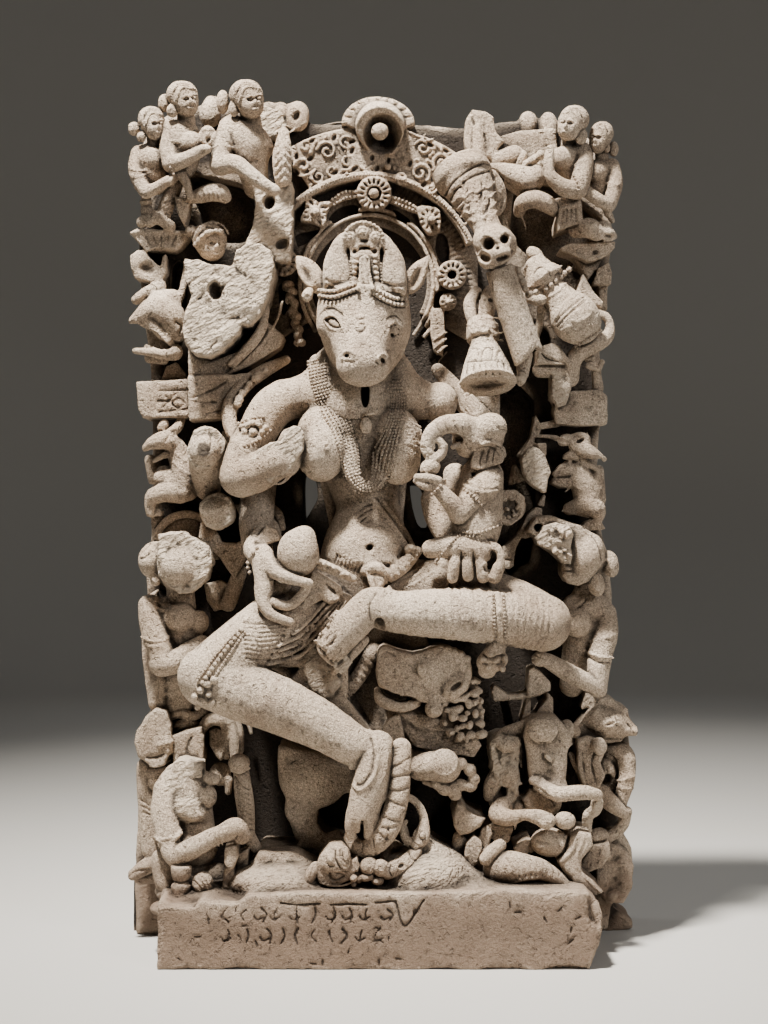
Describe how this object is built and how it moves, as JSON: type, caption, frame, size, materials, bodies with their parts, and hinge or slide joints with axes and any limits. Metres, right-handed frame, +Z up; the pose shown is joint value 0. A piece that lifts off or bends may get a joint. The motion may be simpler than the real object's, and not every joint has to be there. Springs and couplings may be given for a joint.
{
  "type": "yogini statue",
  "caption": "Carved sandstone stele in high relief: a bull-headed goddess seated on a low base with a child on her lap, her mount, attendants and a haloed slab",
  "frame": {"origin": "on the flat underside, in the middle of the part's width and depth", "axes": "+Z up, -Y is the way the goddess faces, +X is the viewer's right"},
  "size_m": [0.8198, 0.385, 1.376],
  "materials": {
    "sandstone": "weathered matt, chisel-dressed, with darker dirt in the hollows"
  },
  "bodies": {
    "root": {"yogini_stele": "sandstone"}
  },
  "joints": []
}
